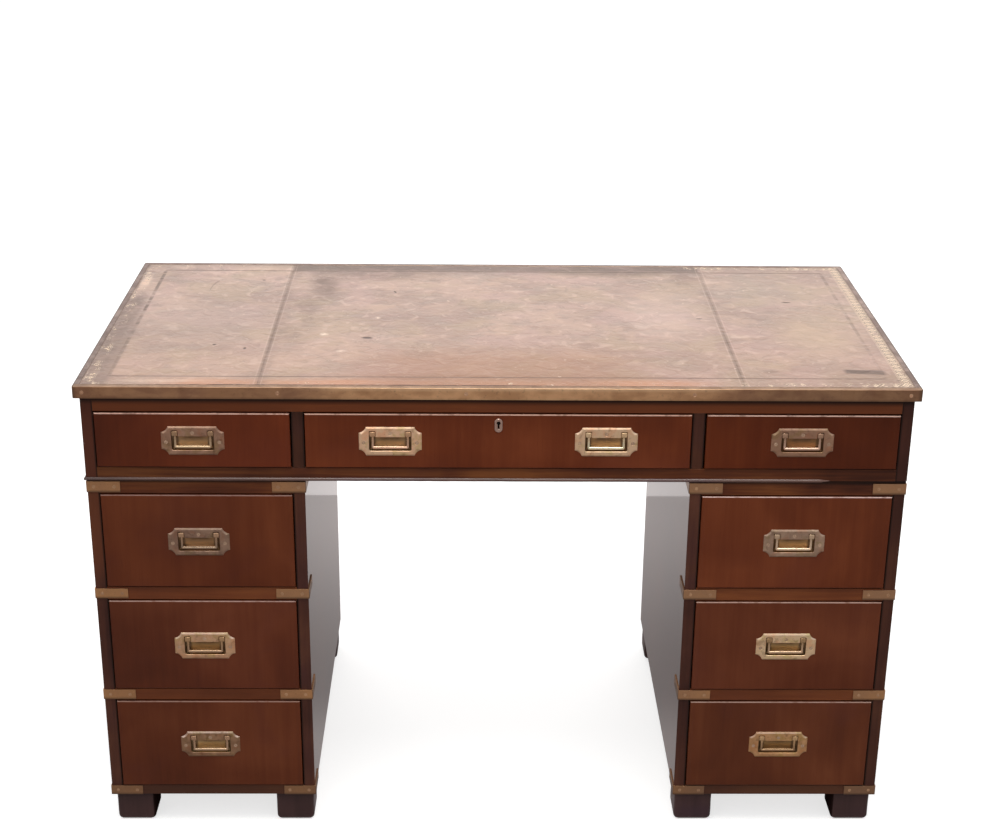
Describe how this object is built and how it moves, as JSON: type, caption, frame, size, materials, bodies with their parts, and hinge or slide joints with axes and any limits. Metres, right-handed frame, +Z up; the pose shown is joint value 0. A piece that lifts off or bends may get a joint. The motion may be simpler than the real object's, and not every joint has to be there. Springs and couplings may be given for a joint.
{
  "type": "campaign desk",
  "caption": "Twin-pedestal campaign desk: leather-lined top with brass edge binding, frieze and pedestal drawers with flush brass pulls, brass corner straps, block feet.",
  "frame": {"origin": "on the floor under the middle of the desk", "axes": "+X to the sitter's right along the width, -Y out of the drawer fronts, +Z up"},
  "size_m": [1.22, 0.61, 0.745],
  "materials": {
    "case_mahogany": "polished dark red-brown mahogany",
    "drawer_mahogany": "polished reddish figured mahogany",
    "drawer_lining_oak": "planed unpolished oak",
    "desk_leather": "worn tan hide with gold tooling",
    "antique_brass": "patinated brass",
    "pull_brass": "satin antique brass, polished where handled",
    "lock_iron": "dull iron"
  },
  "bodies": {
    "pedestals": {"pedestal_sides": "case_mahogany", "pedestal_backs": "case_mahogany", "pedestal_rails": "case_mahogany", "pedestal_top_and_base_boards": "drawer_lining_oak", "pedestal_runners_and_stops": "drawer_lining_oak", "pedestal_feet": "case_mahogany", "corner_straps": "antique_brass", "corner_strap_screws": "antique_brass", "locating_pegs": "drawer_lining_oak"},
    "top_section": {"desk_top_panel": "case_mahogany", "leather_panels": "desk_leather", "brass_edge_binding": "antique_brass", "edge_binding_screws": "antique_brass", "frieze_sides": "case_mahogany", "frieze_dividers": "case_mahogany", "frieze_back": "case_mahogany", "frieze_rails": "case_mahogany", "frieze_runners_and_stops": "drawer_lining_oak", "base_bead": "case_mahogany"},
    "top_left_drawer": {"top_left_drawer_front": "drawer_mahogany", "top_left_drawer_box": "drawer_lining_oak", "top_left_pull_plate": "pull_brass"},
    "top_left_bail": {"top_left_pull_bail": "pull_brass"},
    "left_upper_drawer": {"left_upper_drawer_front": "drawer_mahogany", "left_upper_drawer_box": "drawer_lining_oak", "left_upper_pull_plate": "pull_brass"},
    "left_upper_bail": {"left_upper_pull_bail": "pull_brass"},
    "left_middle_drawer": {"left_middle_drawer_front": "drawer_mahogany", "left_middle_drawer_box": "drawer_lining_oak", "left_middle_pull_plate": "pull_brass"},
    "left_middle_bail": {"left_middle_pull_bail": "pull_brass"},
    "left_lower_drawer": {"left_lower_drawer_front": "drawer_mahogany", "left_lower_drawer_box": "drawer_lining_oak", "left_lower_pull_plate": "pull_brass"},
    "left_lower_bail": {"left_lower_pull_bail": "pull_brass"},
    "top_right_drawer": {"top_right_drawer_front": "drawer_mahogany", "top_right_drawer_box": "drawer_lining_oak", "top_right_pull_plate": "pull_brass"},
    "top_right_bail": {"top_right_pull_bail": "pull_brass"},
    "right_upper_drawer": {"right_upper_drawer_front": "drawer_mahogany", "right_upper_drawer_box": "drawer_lining_oak", "right_upper_pull_plate": "pull_brass"},
    "right_upper_bail": {"right_upper_pull_bail": "pull_brass"},
    "right_middle_drawer": {"right_middle_drawer_front": "drawer_mahogany", "right_middle_drawer_box": "drawer_lining_oak", "right_middle_pull_plate": "pull_brass"},
    "right_middle_bail": {"right_middle_pull_bail": "pull_brass"},
    "right_lower_drawer": {"right_lower_drawer_front": "drawer_mahogany", "right_lower_drawer_box": "drawer_lining_oak", "right_lower_pull_plate": "pull_brass"},
    "right_lower_bail": {"right_lower_pull_bail": "pull_brass"},
    "top_centre_drawer": {"top_centre_drawer_front": "drawer_mahogany", "top_centre_drawer_box": "drawer_lining_oak", "top_centre_left_pull_plate": "pull_brass", "top_centre_right_pull_plate": "pull_brass", "lock_case": "lock_iron", "keyhole_escutcheon": "pull_brass"},
    "top_centre_left_bail": {"top_centre_left_pull_bail": "pull_brass"},
    "top_centre_right_bail": {"top_centre_right_pull_bail": "pull_brass"},
    "lock_bolt": {"lock_bolt": "lock_iron"}
  },
  "joints": [
    {"name": "top_section_lift", "type": "slide", "parent": "pedestals", "child": "top_section", "axis": [0, 0, 1], "range_m": [0, 0.06]},
    {"name": "top_left_drawer_slide", "type": "slide", "parent": "top_section", "child": "top_left_drawer", "axis": [0, -1, 0], "range_m": [0, 0.4]},
    {"name": "top_left_bail_hinge", "type": "hinge", "parent": "top_left_drawer", "child": "top_left_bail", "pos_m": [-0.44305, -0.295, 0.66965], "axis": [-1, 0, 0], "range_deg": [0, 90]},
    {"name": "left_upper_drawer_slide", "type": "slide", "parent": "pedestals", "child": "left_upper_drawer", "axis": [0, -1, 0], "range_m": [0, 0.4]},
    {"name": "left_upper_bail_hinge", "type": "hinge", "parent": "left_upper_drawer", "child": "left_upper_bail", "pos_m": [-0.44305, -0.2915, 0.50555], "axis": [-1, 0, 0], "range_deg": [0, 90]},
    {"name": "left_middle_drawer_slide", "type": "slide", "parent": "pedestals", "child": "left_middle_drawer", "axis": [0, -1, 0], "range_m": [0, 0.4]},
    {"name": "left_middle_bail_hinge", "type": "hinge", "parent": "left_middle_drawer", "child": "left_middle_bail", "pos_m": [-0.44305, -0.2915, 0.3304], "axis": [-1, 0, 0], "range_deg": [0, 90]},
    {"name": "left_lower_drawer_slide", "type": "slide", "parent": "pedestals", "child": "left_lower_drawer", "axis": [0, -1, 0], "range_m": [0, 0.4]},
    {"name": "left_lower_bail_hinge", "type": "hinge", "parent": "left_lower_drawer", "child": "left_lower_bail", "pos_m": [-0.44305, -0.2915, 0.1565], "axis": [-1, 0, 0], "range_deg": [0, 90]},
    {"name": "top_right_drawer_slide", "type": "slide", "parent": "top_section", "child": "top_right_drawer", "axis": [0, -1, 0], "range_m": [0, 0.4]},
    {"name": "top_right_bail_hinge", "type": "hinge", "parent": "top_right_drawer", "child": "top_right_bail", "pos_m": [0.44305, -0.295, 0.66965], "axis": [-1, 0, 0], "range_deg": [0, 90]},
    {"name": "right_upper_drawer_slide", "type": "slide", "parent": "pedestals", "child": "right_upper_drawer", "axis": [0, -1, 0], "range_m": [0, 0.4]},
    {"name": "right_upper_bail_hinge", "type": "hinge", "parent": "right_upper_drawer", "child": "right_upper_bail", "pos_m": [0.44305, -0.2915, 0.50555], "axis": [-1, 0, 0], "range_deg": [0, 90]},
    {"name": "right_middle_drawer_slide", "type": "slide", "parent": "pedestals", "child": "right_middle_drawer", "axis": [0, -1, 0], "range_m": [0, 0.4]},
    {"name": "right_middle_bail_hinge", "type": "hinge", "parent": "right_middle_drawer", "child": "right_middle_bail", "pos_m": [0.44305, -0.2915, 0.3304], "axis": [-1, 0, 0], "range_deg": [0, 90]},
    {"name": "right_lower_drawer_slide", "type": "slide", "parent": "pedestals", "child": "right_lower_drawer", "axis": [0, -1, 0], "range_m": [0, 0.4]},
    {"name": "right_lower_bail_hinge", "type": "hinge", "parent": "right_lower_drawer", "child": "right_lower_bail", "pos_m": [0.44305, -0.2915, 0.1565], "axis": [-1, 0, 0], "range_deg": [0, 90]},
    {"name": "top_centre_drawer_slide", "type": "slide", "parent": "top_section", "child": "top_centre_drawer", "axis": [0, -1, 0], "range_m": [0, 0.4]},
    {"name": "top_centre_left_bail_hinge", "type": "hinge", "parent": "top_centre_drawer", "child": "top_centre_left_bail", "pos_m": [-0.157, -0.295, 0.66965], "axis": [-1, 0, 0], "range_deg": [0, 90]},
    {"name": "top_centre_right_bail_hinge", "type": "hinge", "parent": "top_centre_drawer", "child": "top_centre_right_bail", "pos_m": [0.157, -0.295, 0.66965], "axis": [-1, 0, 0], "range_deg": [0, 90]},
    {"name": "lock_bolt_throw", "type": "slide", "parent": "top_centre_drawer", "child": "lock_bolt", "axis": [0, 0, 1], "range_m": [0, 0.006]}
  ]
}
